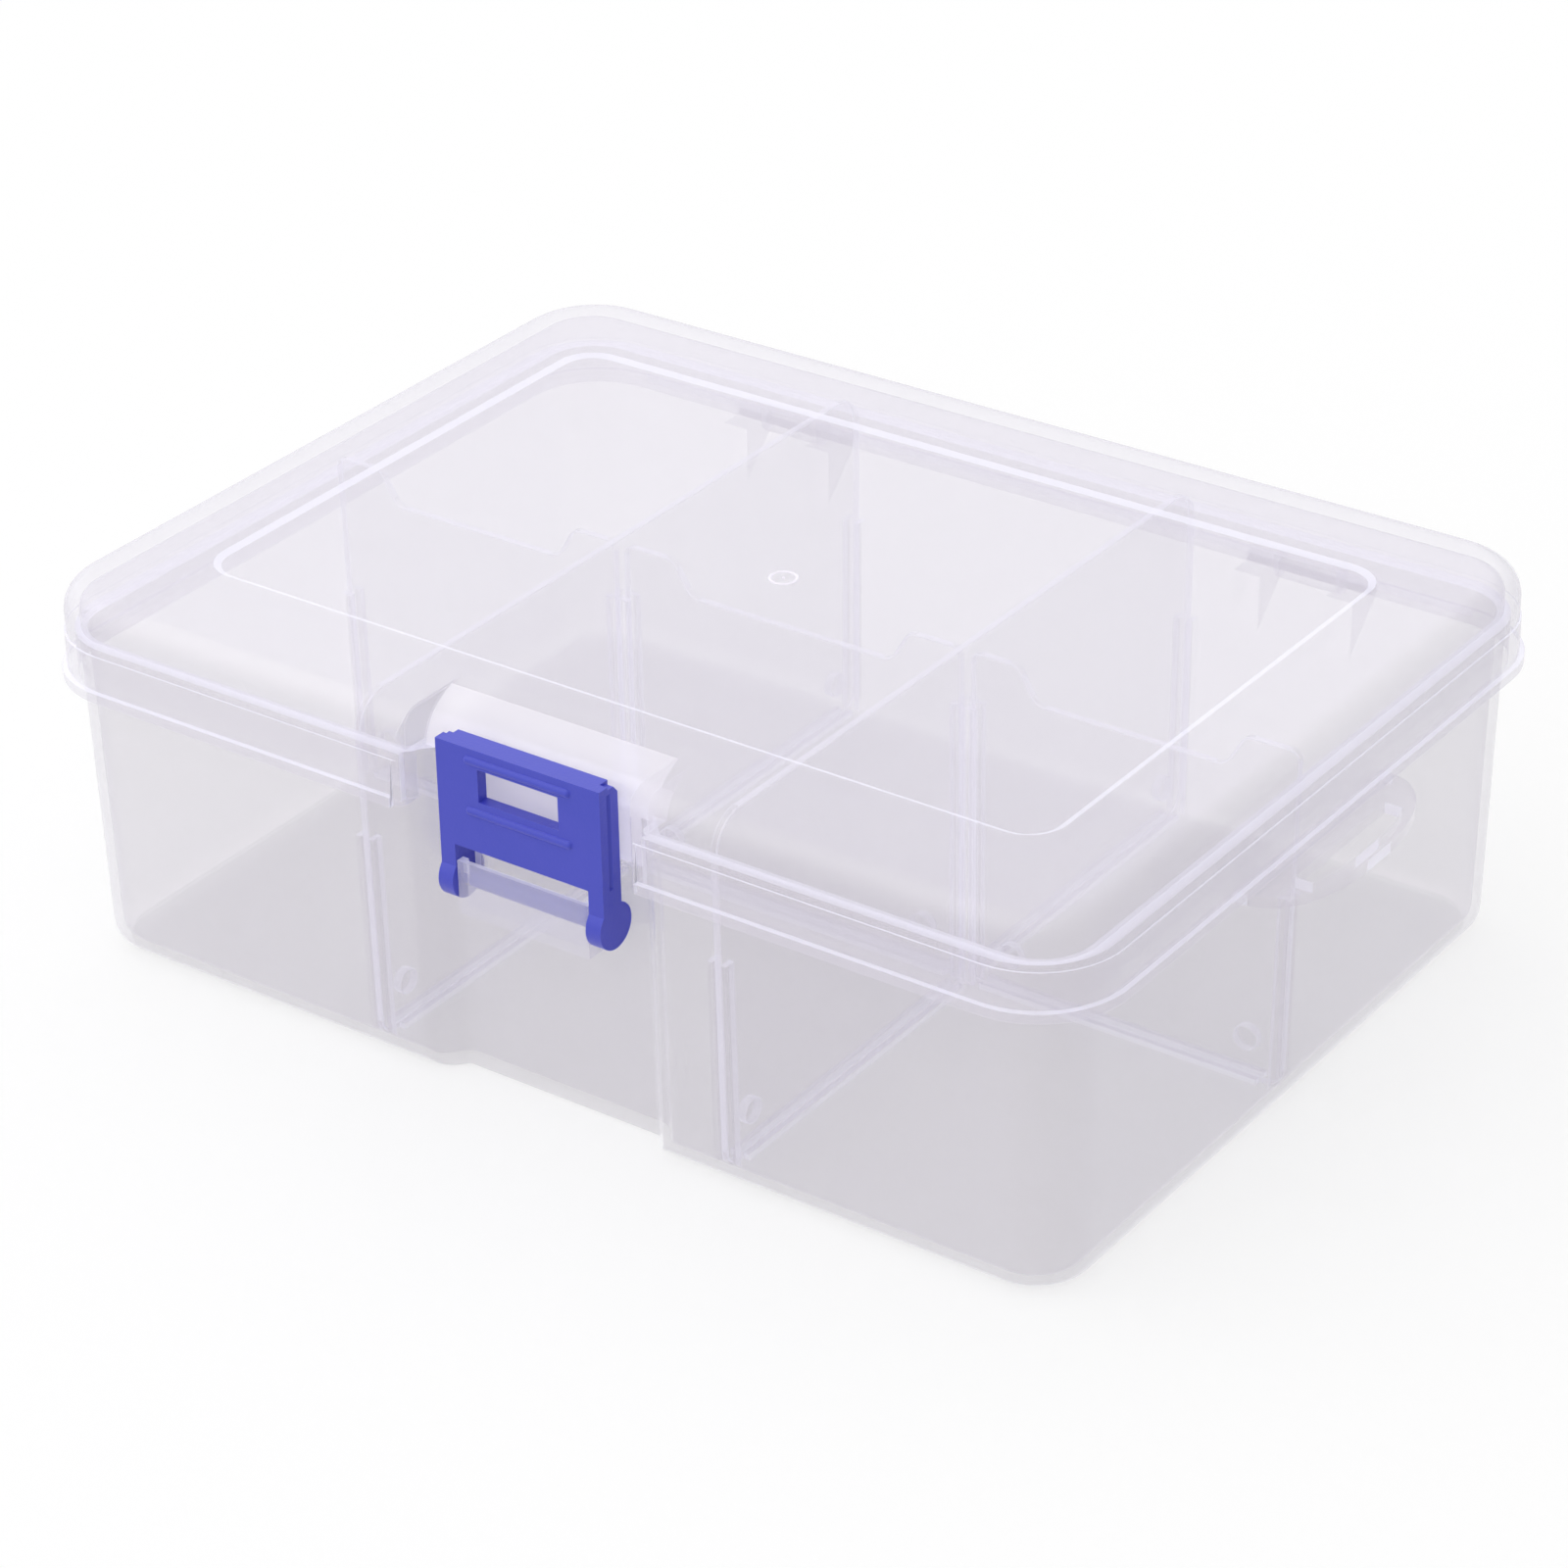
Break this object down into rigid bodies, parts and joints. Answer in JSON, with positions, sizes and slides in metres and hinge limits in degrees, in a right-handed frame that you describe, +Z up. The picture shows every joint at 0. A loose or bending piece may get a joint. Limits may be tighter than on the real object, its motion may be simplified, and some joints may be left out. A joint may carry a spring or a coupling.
{
  "type": "tackle box",
  "caption": "Clear hinged tackle box with a snap latch, a flat side handle and lift-out dividers that stand in moulded guides.",
  "frame": {"origin": "centre of the tub's footprint, on the surface the box stands on", "axes": "+X to the right along the latch face, -Y towards the latch side, +Y towards the hinges, +Z up"},
  "size_m": [0.2445, 0.1793, 0.078],
  "materials": {
    "clear_tub": "translucent moulded polypropylene",
    "clear_lid": "translucent moulded polypropylene",
    "clear_divider": "translucent moulded polypropylene",
    "blue_latch": "semi-gloss moulded plastic",
    "steel_pin": "drawn wire"
  },
  "bodies": {
    "tub_body": {"tub": "clear_tub", "hinge_pin_left": "steel_pin", "hinge_pin_right": "steel_pin", "long_divider_left": "clear_divider", "long_divider_right": "clear_divider", "short_divider_left": "clear_divider", "short_divider_middle": "clear_divider", "short_divider_right": "clear_divider"},
    "lid_body": {"lid": "clear_lid"},
    "latch_body": {"latch": "blue_latch"}
  },
  "joints": [
    {"name": "lid_hinge", "type": "hinge", "parent": "tub_body", "child": "lid_body", "pos_m": [0, 0.08966, 0.0572], "axis": [-1, 0, 0], "range_deg": [0, 120]},
    {"name": "latch_pivot", "type": "hinge", "parent": "tub_body", "child": "latch_body", "pos_m": [0, -0.08053, 0.0463], "axis": [1, 0, 0], "range_deg": [0, 170]}
  ]
}
